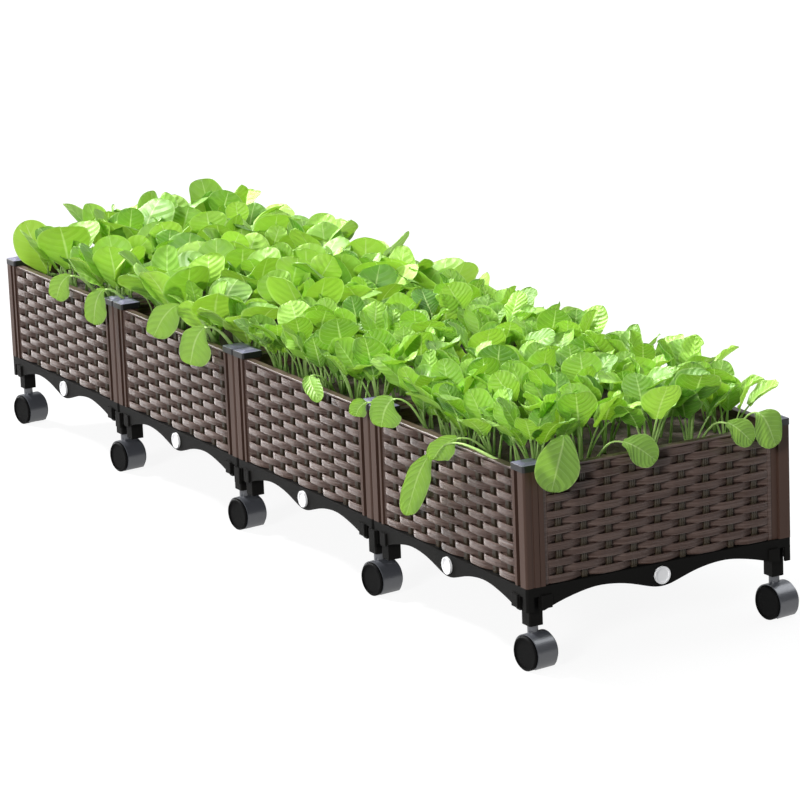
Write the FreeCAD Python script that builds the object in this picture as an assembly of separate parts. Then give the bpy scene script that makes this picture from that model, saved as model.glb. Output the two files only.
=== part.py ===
"""Row of four square woven-look planter boxes on casters, planted with leafy greens.

Frame: millimetres, +X along the row, -Y is the front, +Z up, origin on the floor under the row's centre.
Modules are numbered 1 to 4 from -X to +X. Every sub-part is written to parts/NODE.step.
"""
import math
import os

import FreeCAD
import Part

Vector = FreeCAD.Vector

# The row.
MODULES = 4
PITCH = 400.0            # centre to centre of neighbouring boxes
SIZE = 398.0             # outer width and depth of one box
HALF = SIZE / 2

# Heights above the floor.
LEG_BOTTOM = 56.5
SKIRT_BOTTOM = 77.0
PLATE_BOTTOM = 104.0
TRAY_TOP = 108.0
SOIL_TOP = 238.0
POST_TOP = 258.0
CAP_TOP = 268.6

# Base tray.
SKIRT_WALL = 3.5
TRAY_CORNER_R = 4.0
# Skirt depth below the tray's top along half a side: (distance from the corner, depth).
SKIRT_WAVE = [(25, 31), (50, 22.5), (75, 16.5), (100, 13), (125, 14), (150, 18.5), (175, 26), (190, 29.8), (199, 30.5)]
SLOT_FROM = 10.0         # connector slot beside each corner
SLOT_WIDTH = 8.0
SLOT_TOP = 96.0
TAB_FROM = 20.0          # raised connector tab beside the slot
TAB_WIDTH = 16.0
TAB_PROUD = 2.5
TAB_BOTTOM = 80.0
TAB_TOP = 97.0

# Legs.
LEG_INSET = 7.0
LEG_SIDE = 19.0
LEG_CENTRE = HALF - LEG_INSET - LEG_SIDE / 2
LEG_BORE_R = 4.05
LEG_BORE_DEPTH = 26.0

# Corner posts and caps.
POST_SIDE = 28.0
POST_GROOVE_FROM = 15.0  # deep groove on the front and back faces, measured from the corner
POST_GROOVE_WIDTH = 8.0
POST_GROOVE_DEPTH = 10.0
POST_FLUTES = [(9.0, 3.5, 0.8), (20.0, 1.0, 0.8)]   # end faces, left corner: (from, width, depth)
POST_REBATE_FROM = 18.0  # end faces, right corner: the post steps back from here
POST_REBATE_DEPTH = 3.5
POST_CORNER_R = 3.0
CAP_SIDE = 32.0
CAP_BAND = 8.6           # straight part of a cap before its domed top
CAP_CORNER_R = 3.0
CAP_EDGE_R = 1.2
CAP_CROWN_INSET = 6.0

# Woven panels, drawn with the outside facing -Y.
PANEL_WIDTH = SIZE - 2 * POST_SIDE
PANEL_RECESS = 7.0       # plate's outer face behind the posts' faces
PANEL_PLATE = 4.0
PANEL_EDGE = 6.0         # plain strip at each end
PANEL_EDGE_PROUD = 4.0
LIP_HEIGHT = 4.0
LIP_DEPTH = 11.0
WARPS = 9
ROWS = 14
WEAVE_WIDTH = PANEL_WIDTH - 2 * PANEL_EDGE
WARP_PITCH = WEAVE_WIDTH / WARPS
WEAVE_BOTTOM = TRAY_TOP + 1.5
ROW_PITCH = (POST_TOP - LIP_HEIGHT - WEAVE_BOTTOM) / ROWS
STRAND_HEIGHT = 0.93 * ROW_PITCH
STRAND_BOW = 5.5
WARP_WIDTH = 11.0
WARP_PROUD = 2.0

# White round plugs in the middle of every outer skirt side.
PLUG_R = 11.5
PLUG_THICK = 3.0
PLUG_RIM = 2.0
PLUG_RECESS = 1.0
PLUG_Z = 92.3

# Clips that join the neighbouring boxes.
CLIP_WIDTH = 17.0
CLIP_THICK = 3.0
CLIP_BOTTOM = 72.0
CLIP_TOP = 95.0

# Planting.
SOIL_GAP = 0.5
GREENS_STEM_INSET = 6.0
GREENS_FLARE_Z = 270.0
GREENS_TOP = 345.0
GREENS_SIDE = 212.0      # foliage half depth over the rim
GREENS_END = 819.0       # foliage half length over the row's ends

# Twin-wheel casters.
HEADING_DEG = 98.0       # direction of the wheel axle in plan, the same on all casters
TRAIL = 5.0
WHEEL_R = 22.5
WHEEL_INNER = 7.0        # wheel faces, measured along the axle from the middle
WHEEL_OUTER = 19.0
WHEEL_DISH_R = 19.3
WHEEL_DISH = 1.2
WHEEL_EDGE = 1.4         # chamfer round both edges of the tread
AXLE_R = 3.0
AXLE_BORE_R = 3.05
WEB_HALF = 6.5
WEB_R = 19.8
HOOD_INNER_R = 23.3
HOOD_OUTER_R = 24.7
HOOD_HALF = 15.5
HOOD_LOW_DEG = -48.0     # hood edge on the trailing side, below the axle
HOOD_HIGH_DEG = 172.0    # hood edge on the leading side
COLLAR_R = 7.0
COLLAR_TOP = 56.0
STEM_R = 4.0
STEM_TOP = 81.5
# (module, side along X, side along Y) of the legs that carry a caster.
CASTERS = [(1, -1, -1), (1, 1, -1), (2, 1, -1), (3, 1, -1), (4, 1, -1),
           (1, -1, 1), (1, 1, 1), (2, 1, 1), (3, 1, 1), (4, 1, 1)]
CORNERS = [(-1, -1), (1, -1), (1, 1), (-1, 1)]


def module_x(number):
    """Centre of a module along the row."""
    return (number - (MODULES + 1) / 2) * PITCH


def box(x0, x1, y0, y1, z0, z1):
    """Axis-aligned block between two corners."""
    return Part.makeBox(x1 - x0, y1 - y0, z1 - z0, Vector(x0, y0, z0))


def moved(shape, dx=0.0, dy=0.0, dz=0.0, turn=0.0):
    """Copy turned about the vertical axis through the origin, then shifted."""
    copy = shape.copy()
    copy.Placement = FreeCAD.Placement(Vector(dx, dy, dz), FreeCAD.Rotation(Vector(0, 0, 1), turn))
    return copy


def vertical_edges(shape, x, y):
    """Vertical edges of a shape that stand at a plan position."""
    found = []
    for edge in shape.Edges:
        a, b = edge.Vertexes[0].Point, edge.Vertexes[-1].Point
        if all(abs(p.x - x) < 0.01 and abs(p.y - y) < 0.01 for p in (a, b)):
            found.append(edge)
    return found


def skirt_wall():
    """Front skirt wall of a tray: full depth at the corners, two arches and a bump in the middle."""
    left = [Vector(s - HALF, -HALF, TRAY_TOP - depth) for s, depth in SKIRT_WAVE]
    right = [Vector(-p.x, p.y, p.z) for p in reversed(left[:-1])]
    wave = Part.BSplineCurve()
    wave.interpolate(left + right)
    low_left = Vector(-HALF, -HALF, SKIRT_BOTTOM)
    low_right = Vector(HALF, -HALF, SKIRT_BOTTOM)
    top_left = Vector(-HALF, -HALF, TRAY_TOP)
    top_right = Vector(HALF, -HALF, TRAY_TOP)
    edges = [
        wave.toShape(),
        Part.makeLine(right[-1], low_right),
        Part.makeLine(low_right, top_right),
        Part.makeLine(top_right, top_left),
        Part.makeLine(top_left, low_left),
        Part.makeLine(low_left, left[0]),
    ]
    wall = Part.Face(Part.Wire(edges)).extrude(Vector(0, SKIRT_WALL, 0))
    for side in (-1, 1):
        near = side * (HALF - SLOT_FROM)
        far = side * (HALF - SLOT_FROM - SLOT_WIDTH)
        slot = box(min(near, far), max(near, far), -HALF - 1, -HALF + SKIRT_WALL + 1, SKIRT_BOTTOM - 1, SLOT_TOP)
        wall = wall.cut(slot)
    return wall


def connector_tab(side):
    """Raised tab beside a slot on the front skirt wall."""
    near = side * (HALF - TAB_FROM)
    far = side * (HALF - TAB_FROM - TAB_WIDTH)
    tab = box(min(near, far), max(near, far), -HALF - TAB_PROUD, -HALF, TAB_BOTTOM, TAB_TOP)
    outer = vertical_edges(tab, near, -HALF - TAB_PROUD) + vertical_edges(tab, far, -HALF - TAB_PROUD)
    return tab.makeFillet(1.5, outer)


def base_tray(number):
    """Tray floor with its scalloped skirt; the tabs stand only on the row's outer faces."""
    plate = box(-HALF, HALF, -HALF, HALF, PLATE_BOTTOM, TRAY_TOP)
    wall = skirt_wall()
    walls = [moved(wall, turn=turn) for turn in (0, 90, 180, 270)]
    tray = plate.multiFuse(walls).removeSplitter()
    rounded = []
    for sx, sy in CORNERS:
        rounded += vertical_edges(tray, sx * HALF, sy * HALF)
    tray = tray.makeFillet(TRAY_CORNER_R, rounded)
    faces = [0, 180]
    if number == MODULES:
        faces.append(90)
    if number == 1:
        faces.append(270)
    tabs = [moved(connector_tab(side), turn=turn) for turn in faces for side in (-1, 1)]
    return moved(tray.multiFuse(tabs), dx=module_x(number))


def leg_block(sx, sy, with_bore):
    """Square leg under one corner, bored for a caster stem where it carries one."""
    cx, cy = sx * LEG_CENTRE, sy * LEG_CENTRE
    half = LEG_SIDE / 2
    leg = box(cx - half, cx + half, cy - half, cy + half, LEG_BOTTOM, PLATE_BOTTOM)
    leg = leg.makeFillet(2.5, vertical_edges(leg, cx + sx * half, cy + sy * half))
    if with_bore:
        bore = Part.makeCylinder(LEG_BORE_R, LEG_BORE_DEPTH, Vector(cx, cy, LEG_BOTTOM))
        leg = leg.cut(bore)
    return leg


def leg_blocks():
    """All sixteen legs as separate solids."""
    legs = []
    for number in range(1, MODULES + 1):
        for sx, sy in CORNERS:
            leg = leg_block(sx, sy, (number, sx, sy) in CASTERS)
            legs.append(moved(leg, dx=module_x(number)))
    return Part.makeCompound(legs)


def corner_post(rebated):
    """Post for the front right corner: a deep groove in front, flutes or a rebate on the end face."""
    post = box(HALF - POST_SIDE, HALF, -HALF, -HALF + POST_SIDE, TRAY_TOP, POST_TOP)
    post = post.makeFillet(POST_CORNER_R, vertical_edges(post, HALF, -HALF))
    low, high = TRAY_TOP - 1, POST_TOP + 1
    stop = HALF - POST_GROOVE_FROM
    cuts = [box(stop - POST_GROOVE_WIDTH, stop, -HALF - 1, -HALF + POST_GROOVE_DEPTH, low, high)]
    if rebated:
        start = -HALF + POST_REBATE_FROM
        cuts.append(box(HALF - POST_REBATE_DEPTH, HALF + 1, start, -HALF + POST_SIDE + 1, low, high))
    else:
        for start, width, depth in POST_FLUTES:
            cuts.append(box(HALF - depth, HALF + 1, -HALF + start, -HALF + start + width, low, high))
    return post.cut(cuts)


def corner_posts(number):
    """The four posts of one box as separate solids; the rebates are at the right corner of each end."""
    fluted = corner_post(False)
    rebated = corner_post(True).mirror(Vector(0, 0, 0), Vector(0, 1, 0))
    posts = [moved(post, dx=module_x(number), turn=turn) for post in (fluted, rebated) for turn in (0, 180)]
    return Part.makeCompound(posts)


def post_cap():
    """Cap for the front left post: an upright band, then a low crowned top."""
    centre = -HALF + CAP_SIDE / 2 - 0.5
    half = CAP_SIDE / 2
    band_top = POST_TOP + CAP_BAND
    band = box(centre - half, centre + half, centre - half, centre + half, POST_TOP, band_top)
    edges = []
    for sx, sy in CORNERS:
        edges += vertical_edges(band, centre + sx * half, centre + sy * half)
    band = band.makeFillet(CAP_CORNER_R, edges)
    rim = [e for e in band.Edges if e.BoundBox.ZMin > band_top - 0.01]
    band = band.makeFillet(CAP_EDGE_R, rim)
    lower = square_wire(centre, half - CAP_CORNER_R, band_top - 0.5)
    upper = square_wire(centre, half - CAP_CORNER_R - CAP_CROWN_INSET, CAP_TOP)
    return band.fuse(Part.makeLoft([lower, upper], True, True))


def square_wire(centre, half, z):
    """Closed square in plan around a point on the diagonal."""
    points = [Vector(centre + sx * half, centre + sy * half, z) for sx, sy in CORNERS]
    return Part.makePolygon(points + points[:1])


def post_caps():
    """All sixteen caps as separate solids."""
    cap = post_cap()
    caps = []
    for number in range(1, MODULES + 1):
        for turn in (0, 90, 180, 270):
            caps.append(moved(cap, dx=module_x(number), turn=turn))
    return Part.makeCompound(caps)


def strand_row(row):
    """One strand: it bows out over every second warp and runs flat behind the others."""
    face_y = -HALF + PANEL_RECESS
    z = WEAVE_BOTTOM + row * ROW_PITCH
    humps = []
    for warp in range(WARPS):
        if (warp + row) % 2:
            continue
        x0 = -WEAVE_WIDTH / 2 + warp * WARP_PITCH
        x1 = x0 + WARP_PITCH
        crown = Vector((x0 + x1) / 2, face_y - STRAND_BOW, z)
        a, b = Vector(x0, face_y, z), Vector(x1, face_y, z)
        back_a, back_b = Vector(x0, face_y + 1, z), Vector(x1, face_y + 1, z)
        outline = Part.Wire([
            Part.Arc(a, crown, b).toShape(),
            Part.makeLine(b, back_b),
            Part.makeLine(back_b, back_a),
            Part.makeLine(back_a, a),
        ])
        humps.append(Part.Face(outline).extrude(Vector(0, 0, STRAND_HEIGHT)))
    return humps


def woven_panel():
    """Front panel: plate, plain edge strips, top lip, upright warps and the bowed strands."""
    face_y = -HALF + PANEL_RECESS
    half = PANEL_WIDTH / 2
    plate = box(-half, half, face_y, face_y + PANEL_PLATE, TRAY_TOP, POST_TOP)
    strip_y = face_y - PANEL_EDGE_PROUD
    lip_z = POST_TOP - LIP_HEIGHT
    pieces = [
        box(-half, -half + PANEL_EDGE, strip_y, face_y + 1, TRAY_TOP, POST_TOP),
        box(half - PANEL_EDGE, half, strip_y, face_y + 1, TRAY_TOP, POST_TOP),
        box(-half, half, strip_y + 1, strip_y + 1 + LIP_DEPTH, lip_z, POST_TOP),
    ]
    for warp in range(WARPS):
        x = -WEAVE_WIDTH / 2 + (warp + 0.5) * WARP_PITCH
        warp_y = face_y - WARP_PROUD
        pieces.append(box(x - WARP_WIDTH / 2, x + WARP_WIDTH / 2, warp_y, face_y + 1, TRAY_TOP, lip_z + 1))
    for row in range(ROWS):
        pieces += strand_row(row)
    return plate.multiFuse(pieces)


def side_plug():
    """Round plug for the middle of the front skirt: a raised rim around a shallow face."""
    axis = Vector(0, -1, 0)
    disc = Part.makeCylinder(PLUG_R, PLUG_THICK, Vector(0, -HALF, PLUG_Z), axis)
    dish = Part.makeCylinder(PLUG_R - PLUG_RIM, PLUG_RECESS, Vector(0, -HALF - PLUG_THICK + PLUG_RECESS, PLUG_Z), axis)
    return disc.cut(dish)


def side_plugs():
    """The plugs on all outer faces of the row."""
    plug = side_plug()
    plugs = []
    for number in range(1, MODULES + 1):
        for turn in (0, 180):
            plugs.append(moved(plug, dx=module_x(number), turn=turn))
    plugs.append(moved(plug, dx=module_x(MODULES), turn=90))
    plugs.append(moved(plug, dx=module_x(1), turn=270))
    return Part.makeCompound(plugs)


def joining_clips():
    """Plates that bridge the seam between neighbouring boxes, front and back."""
    clips = []
    for number in range(1, MODULES):
        seam = module_x(number) + PITCH / 2
        for side in (-1, 1):
            y0, y1 = sorted((side * HALF, side * (HALF + CLIP_THICK)))
            clip = box(seam - CLIP_WIDTH / 2, seam + CLIP_WIDTH / 2, y0, y1, CLIP_BOTTOM, CLIP_TOP)
            outer_y = side * (HALF + CLIP_THICK)
            edges = vertical_edges(clip, seam - CLIP_WIDTH / 2, outer_y)
            edges += vertical_edges(clip, seam + CLIP_WIDTH / 2, outer_y)
            clips.append(clip.makeFillet(1.5, edges))
    return Part.makeCompound(clips)


def inner_outline(wide, narrow, z):
    """Face of the space between the panels and around the four posts."""
    long_way = Part.makePlane(2 * wide, 2 * narrow, Vector(-wide, -narrow, z))
    short_way = Part.makePlane(2 * narrow, 2 * wide, Vector(-narrow, -wide, z))
    return long_way.fuse(short_way).removeSplitter().Faces[0]


def soil_bed(number):
    """Soil filling one box to a little below its rim."""
    wide = HALF - PANEL_RECESS - PANEL_PLATE - SOIL_GAP
    narrow = HALF - POST_SIDE - SOIL_GAP
    bed = inner_outline(wide, narrow, TRAY_TOP).extrude(Vector(0, 0, SOIL_TOP - TRAY_TOP))
    return moved(bed, dx=module_x(number))


def rounded_section(x0, x1, y_half, radius, z):
    """Closed rounded rectangle in plan."""
    face = Part.makePlane(x1 - x0, 2 * y_half, Vector(x0, -y_half, z))
    block = face.extrude(Vector(0, 0, 1))
    edges = []
    for x in (x0, x1):
        for y in (-y_half, y_half):
            edges += vertical_edges(block, x, y)
    block = block.makeFillet(radius, edges)
    bottom = [f for f in block.Faces if f.BoundBox.ZMax < z + 0.01]
    return bottom[0].OuterWire


def greens(number):
    """Foliage of one box: stems inside the walls, leaves spreading over the rim."""
    x0, x1 = -PITCH / 2 + 0.5, PITCH / 2 - 0.5
    overhang = GREENS_END - module_x(MODULES)
    if number == 1:
        x0 = -overhang
    if number == MODULES:
        x1 = overhang
    wide = HALF - PANEL_RECESS - PANEL_PLATE - GREENS_STEM_INSET
    narrow = HALF - POST_SIDE - GREENS_STEM_INSET
    stems = inner_outline(wide, narrow, SOIL_TOP).extrude(Vector(0, 0, GREENS_FLARE_Z + 1 - SOIL_TOP))
    sections = [
        rounded_section(x0 + 4, x1 - 4, GREENS_SIDE - 8, 20, GREENS_FLARE_Z),
        rounded_section(x0, x1, GREENS_SIDE, 26, GREENS_FLARE_Z + 16),
        rounded_section(x0 + 2, x1 - 2, GREENS_SIDE - 8, 32, GREENS_FLARE_Z + 40),
        rounded_section(x0 + 16, x1 - 16, GREENS_SIDE - 34, 44, GREENS_TOP - 12),
        rounded_section(x0 + 50, x1 - 50, GREENS_SIDE - 76, 60, GREENS_TOP),
    ]
    crown = Part.makeLoft(sections, True, True)
    return moved(stems.fuse(crown), dx=module_x(number))


def along_axle(radius, start, stop):
    """Cylinder about the wheel axle, drawn with the axle along Y and the wheel trailing towards +X."""
    return Part.makeCylinder(radius, stop - start, Vector(TRAIL, start, WHEEL_R), Vector(0, 1, 0))


def caster_wheels():
    """Both wheels of a caster with the axle they turn on."""
    pieces = []
    for side in (-1, 1):
        inner, outer = side * WHEEL_INNER, side * WHEEL_OUTER
        wheel = along_axle(WHEEL_R, min(inner, outer), max(inner, outer))
        rims = [e for e in wheel.Edges if e.Length > 100 and e.BoundBox.YLength < 0.1]
        wheel = wheel.makeChamfer(WHEEL_EDGE, rims)
        floor = side * (WHEEL_OUTER - WHEEL_DISH)
        dish = along_axle(WHEEL_DISH_R, min(floor, side * (WHEEL_OUTER + 1)), max(floor, side * (WHEEL_OUTER + 1)))
        pieces.append(wheel.cut(dish))
    axle = along_axle(AXLE_R, -WHEEL_INNER - 1, WHEEL_INNER + 1)
    return axle.multiFuse(pieces)


def caster_hood():
    """Swivelling hood: web between the wheels, curved cover over them, collar and stem."""
    ring = along_axle(HOOD_OUTER_R, -HOOD_HALF, HOOD_HALF).cut(along_axle(HOOD_INNER_R, -HOOD_HALF - 1, HOOD_HALF + 1))
    reach = 3 * HOOD_OUTER_R
    fan = [Vector(TRAIL, 0, WHEEL_R)]
    steps = 12
    for i in range(steps + 1):
        angle = math.radians(HOOD_LOW_DEG + (HOOD_HIGH_DEG - HOOD_LOW_DEG) * i / steps)
        fan.append(Vector(TRAIL + reach * math.cos(angle), 0, WHEEL_R + reach * math.sin(angle)))
    sector = Part.Face(Part.makePolygon(fan + fan[:1])).extrude(Vector(0, 4 * HOOD_HALF, 0))
    sector = moved(sector, dy=-2 * HOOD_HALF)
    cover = ring.common(sector)
    web = along_axle(WEB_R, -WEB_HALF, WEB_HALF)
    spine = along_axle(HOOD_OUTER_R - 0.5, -WEB_HALF, WEB_HALF).common(sector)
    collar = Part.makeCylinder(COLLAR_R, COLLAR_TOP - WHEEL_R - HOOD_INNER_R + 1, Vector(0, 0, WHEEL_R + HOOD_INNER_R - 1))
    stem = Part.makeCylinder(STEM_R, STEM_TOP - COLLAR_TOP + 1, Vector(0, 0, COLLAR_TOP - 1))
    hood = web.multiFuse([spine, cover, collar, stem])
    hood = hood.cut(along_axle(AXLE_BORE_R, -WEB_HALF - 1, WEB_HALF + 1))
    return hood


def caster_place(corner):
    """Plan position of the leg that carries a caster."""
    number, sx, sy = corner
    return module_x(number) + sx * LEG_CENTRE, sy * LEG_CENTRE


def write(name, shape):
    """Write one sub-part."""
    shape.exportStep(os.path.join("parts", name + ".step"))


def main():
    """Build and write every sub-part."""
    os.makedirs("parts", exist_ok=True)
    panel = woven_panel()
    sides = {"front": 0, "right": 90, "back": 180, "left": 270}
    for number in range(1, MODULES + 1):
        write("base_tray_%d" % number, base_tray(number))
        write("corner_posts_%d" % number, corner_posts(number))
        write("soil_%d" % number, soil_bed(number))
        write("greens_%d" % number, greens(number))
        for side, turn in sides.items():
            write("panel_%s_%d" % (side, number), moved(panel, dx=module_x(number), turn=turn))
    write("legs", leg_blocks())
    write("post_caps", post_caps())
    write("side_plugs", side_plugs())
    write("joining_clips", joining_clips())
    hood = caster_hood()
    wheels = caster_wheels()
    for index, corner in enumerate(CASTERS, 1):
        x, y = caster_place(corner)
        turn = HEADING_DEG - 90
        write("caster_hood_%d" % index, moved(hood, dx=x, dy=y, turn=turn))
        write("caster_wheels_%d" % index, moved(wheels, dx=x, dy=y, turn=turn))


main()
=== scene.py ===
import math

import bpy
import numpy as np
from mathutils import Matrix, Vector


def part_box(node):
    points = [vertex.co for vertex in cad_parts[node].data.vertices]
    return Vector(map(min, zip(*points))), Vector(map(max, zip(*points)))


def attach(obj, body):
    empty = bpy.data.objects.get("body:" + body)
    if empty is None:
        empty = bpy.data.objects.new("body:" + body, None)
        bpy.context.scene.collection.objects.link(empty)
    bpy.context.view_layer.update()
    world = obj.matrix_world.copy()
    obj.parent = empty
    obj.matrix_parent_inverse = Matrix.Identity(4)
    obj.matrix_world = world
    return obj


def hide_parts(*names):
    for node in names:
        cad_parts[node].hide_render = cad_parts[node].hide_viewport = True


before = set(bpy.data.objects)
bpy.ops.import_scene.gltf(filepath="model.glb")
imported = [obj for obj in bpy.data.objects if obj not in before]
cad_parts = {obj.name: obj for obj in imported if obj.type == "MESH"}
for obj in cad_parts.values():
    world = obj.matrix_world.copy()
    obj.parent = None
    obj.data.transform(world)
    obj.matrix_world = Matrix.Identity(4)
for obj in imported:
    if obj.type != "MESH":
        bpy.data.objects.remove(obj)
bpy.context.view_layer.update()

# Looks of the row of planted woven boxes on casters. Lengths are in metres in the CAD frame.

MODULES = 4
PITCH = 0.400
HALF = 0.199
TRAY_TOP = 0.108
SOIL_TOP = 0.238
POST_TOP = 0.258
SIDE_TURNS = {"front": 0, "right": 90, "back": 180, "left": 270}
RNG = np.random.default_rng(7)


def module_x(number):
    """Centre of a box along the row."""
    return (number - (MODULES + 1) / 2) * PITCH


# ---------------------------------------------------------------- materials

def node_tree(name):
    """New material with an empty node tree."""
    mat = bpy.data.materials.new(name)
    mat.use_nodes = True
    tree = mat.node_tree
    tree.nodes.clear()
    return mat, tree


def add(tree, kind, inputs=None, **props):
    """Adds a node; inputs maps socket names or indices to values or to sockets."""
    node = tree.nodes.new(kind)
    for key, value in props.items():
        setattr(node, key, value)
    for key, value in (inputs or {}).items():
        socket = node.inputs[key]
        if isinstance(value, bpy.types.NodeSocket):
            tree.links.new(value, socket)
        else:
            socket.default_value = value
    return node


def math_node(tree, operation, a, b=None, clamp=False):
    """Output of a math node."""
    inputs = {0: a}
    if b is not None:
        inputs[1] = b
    return add(tree, "ShaderNodeMath", inputs, operation=operation, use_clamp=clamp).outputs[0]


def noise(tree, coords, scale, detail):
    """Output of a soft noise."""
    inputs = {"Vector": coords, "Scale": scale, "Detail": detail}
    return add(tree, "ShaderNodeTexNoise", inputs).outputs["Fac"]


def ramp(tree, value, start, end):
    """Output that rises from 0 to 1 while a value goes from start to end."""
    return add(tree, "ShaderNodeMapRange", {0: value, 1: start, 2: end}).outputs[0]


def smooth_ramp(tree, value, start, end):
    """Like ramp, with eased ends."""
    inputs = {0: value, 1: start, 2: end}
    return add(tree, "ShaderNodeMapRange", inputs, interpolation_type="SMOOTHSTEP").outputs[0]


def mix_colour(tree, factor, a, b):
    """Output of a colour mix."""
    return add(tree, "ShaderNodeMix", {0: factor, 6: a, 7: b}, data_type="RGBA").outputs[2]


def rgba(r, g, b):
    """Colour with full alpha."""
    return (r, g, b, 1.0)


def output(tree, shader):
    """Makes a shader the result of a node tree."""
    add(tree, "ShaderNodeOutputMaterial", {0: shader.outputs[0]})


# Moulded plastics: material name, two tones, roughness, scale and strength of the grain, level of reflection.
PLASTICS = {
    "tray": ("tray_black", (0.005, 0.0048, 0.0044), (0.008, 0.0076, 0.0070), 0.50, 900.0, 0.25, 0.05),
    "post": ("post_brown", (0.062, 0.033, 0.024), (0.079, 0.044, 0.032), 0.45, 700.0, 0.2, 0.20),
    "cap": ("cap_black", (0.009, 0.009, 0.011), (0.013, 0.013, 0.016), 0.34, 900.0, 0.15, 0.4),
    "plug": ("plug_white", (0.95, 0.95, 0.96), (0.98, 0.98, 0.99), 0.40, 500.0, 0.05, 0.5),
    "hood": ("hood_grey", (0.064, 0.067, 0.077), (0.082, 0.086, 0.098), 0.28, 900.0, 0.12, 0.9),
    "wheel": ("wheel_black", (0.0030, 0.0030, 0.0030), (0.005, 0.005, 0.005), 0.62, 900.0, 0.3, 0.06),
}
# The plastic of each CAD node that stays visible, by how its name begins.
CAD_PLASTICS = {
    "base_tray": "tray",
    "legs": "tray",
    "joining_clips": "tray",
    "corner_posts": "post",
    "post_caps": "cap",
    "side_plugs": "plug",
    "caster_hood": "hood",
    "caster_wheels": "wheel",
}
# Painted reflection: the pale bluish sky tone that the caps' upward faces are painted with.
CAP_SKY_REFLECTION_TONE = (0.180, 0.175, 0.260)


def plastic(name, colour, other, roughness, grain_scale, grain, specular):
    """Moulded plastic: two close tones over a soft noise, and a fine grain in the surface."""
    mat, tree = node_tree(name)
    coords = add(tree, "ShaderNodeTexCoord").outputs["Object"]
    cloud = noise(tree, coords, 9.0, 3.0)
    fine = noise(tree, coords, grain_scale, 2.0)
    bump = add(tree, "ShaderNodeBump", {"Strength": grain, "Distance": 0.0006, "Height": fine}).outputs[0]
    base = mix_colour(tree, cloud, rgba(*colour), rgba(*other))
    shader = add(tree, "ShaderNodeBsdfPrincipled", {
        "Base Color": base, "Roughness": roughness, "Normal": bump, "Specular IOR Level": specular})
    output(tree, shader)
    return mat


def paint_cap_sky_reflection(mat):
    """Paints a pale reflection of the sky into the caps' colour wherever a face looks up."""
    tree = mat.node_tree
    shader = next(n for n in tree.nodes if n.type == "BSDF_PRINCIPLED")
    side = shader.inputs["Base Color"].links[0].from_socket
    normal = add(tree, "ShaderNodeNewGeometry").outputs["True Normal"]
    up = add(tree, "ShaderNodeSeparateXYZ", {0: normal}).outputs[2]
    # painted reflection: faces that look up take the paler sky tone
    sky_reflection_mask = ramp(tree, up, 0.80, 0.92)
    tree.links.new(mix_colour(tree, sky_reflection_mask, side, rgba(*CAP_SKY_REFLECTION_TONE)), shader.inputs["Base Color"])


def woven_plastic():
    """Brown strand plastic with fine ridges that run along each strand."""
    mat, tree = node_tree("woven_strands")
    coords = add(tree, "ShaderNodeTexCoord").outputs["Object"]
    stretched = add(tree, "ShaderNodeMapping", {"Vector": coords, "Scale": (12.0, 12.0, 560.0)}).outputs[0]
    streak = noise(tree, stretched, 1.0, 2.0)
    cloud = noise(tree, coords, 30.0, 2.0)
    bump = add(tree, "ShaderNodeBump", {"Strength": 0.5, "Distance": 0.0014, "Height": streak}).outputs[0]
    tone = mix_colour(tree, cloud, rgba(0.054, 0.028, 0.020), rgba(0.076, 0.043, 0.034))
    lift = ramp(tree, streak, 0.40, 0.62)
    strand_tone = mix_colour(tree, lift, tone, rgba(0.118, 0.077, 0.063))
    # the upright bars (tint 1) get their own olive brown, made darker as painted shade from the strands in
    # front of them
    upright = add(tree, "ShaderNodeAttribute", attribute_name="tint").outputs["Fac"]
    base = mix_colour(tree, upright, strand_tone, rgba(0.040, 0.029, 0.016))
    shader = add(tree, "ShaderNodeBsdfPrincipled", {
        "Base Color": base, "Roughness": 0.42, "Normal": bump, "Specular IOR Level": 0.42})
    output(tree, shader)
    return mat


def soil_material():
    """Dark crumbly potting soil."""
    mat, tree = node_tree("potting_soil")
    coords = add(tree, "ShaderNodeTexCoord").outputs["Object"]
    crumbs = noise(tree, coords, 120.0, 6.0)
    base = mix_colour(tree, crumbs, rgba(0.012, 0.008, 0.005), rgba(0.075, 0.048, 0.030))
    bump = add(tree, "ShaderNodeBump", {"Strength": 1.0, "Distance": 0.004, "Height": crumbs}).outputs[0]
    shader = add(tree, "ShaderNodeBsdfPrincipled", {"Base Color": base, "Roughness": 0.95, "Normal": bump})
    output(tree, shader)
    return mat


VEIN_SLANT = 0.30                # how far side veins run forward by the time they reach the margin
# Painted shade: leaves low down inside the boxes are painted towards a dark green, standing in for the shade
# between the plants.
PAINTED_SHADE_HEIGHTS = (0.310, 0.240)   # foliage darkens downwards between these heights, but only inside the boxes
PAINTED_SHADE_SIDE = (0.196, 0.178)
PAINTED_SHADE_END = (0.796, 0.778)
RIB_WIDTH = 0.095        # of the pale midrib at the stalk, as a share of half the blade
RIB_TAPER = 0.075        # how much narrower it is at the tip
RIB_MIX = 0.85
# share of the painted highlight along the leaf edges
LEAF_EDGE_HIGHLIGHT_MIX = 0.45
UNDERSIDE_MIX = 0.20
PAINTED_SHADE_MIX = 0.68
THROUGH_SHARE = 0.23     # share of the light that comes through a leaf


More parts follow.
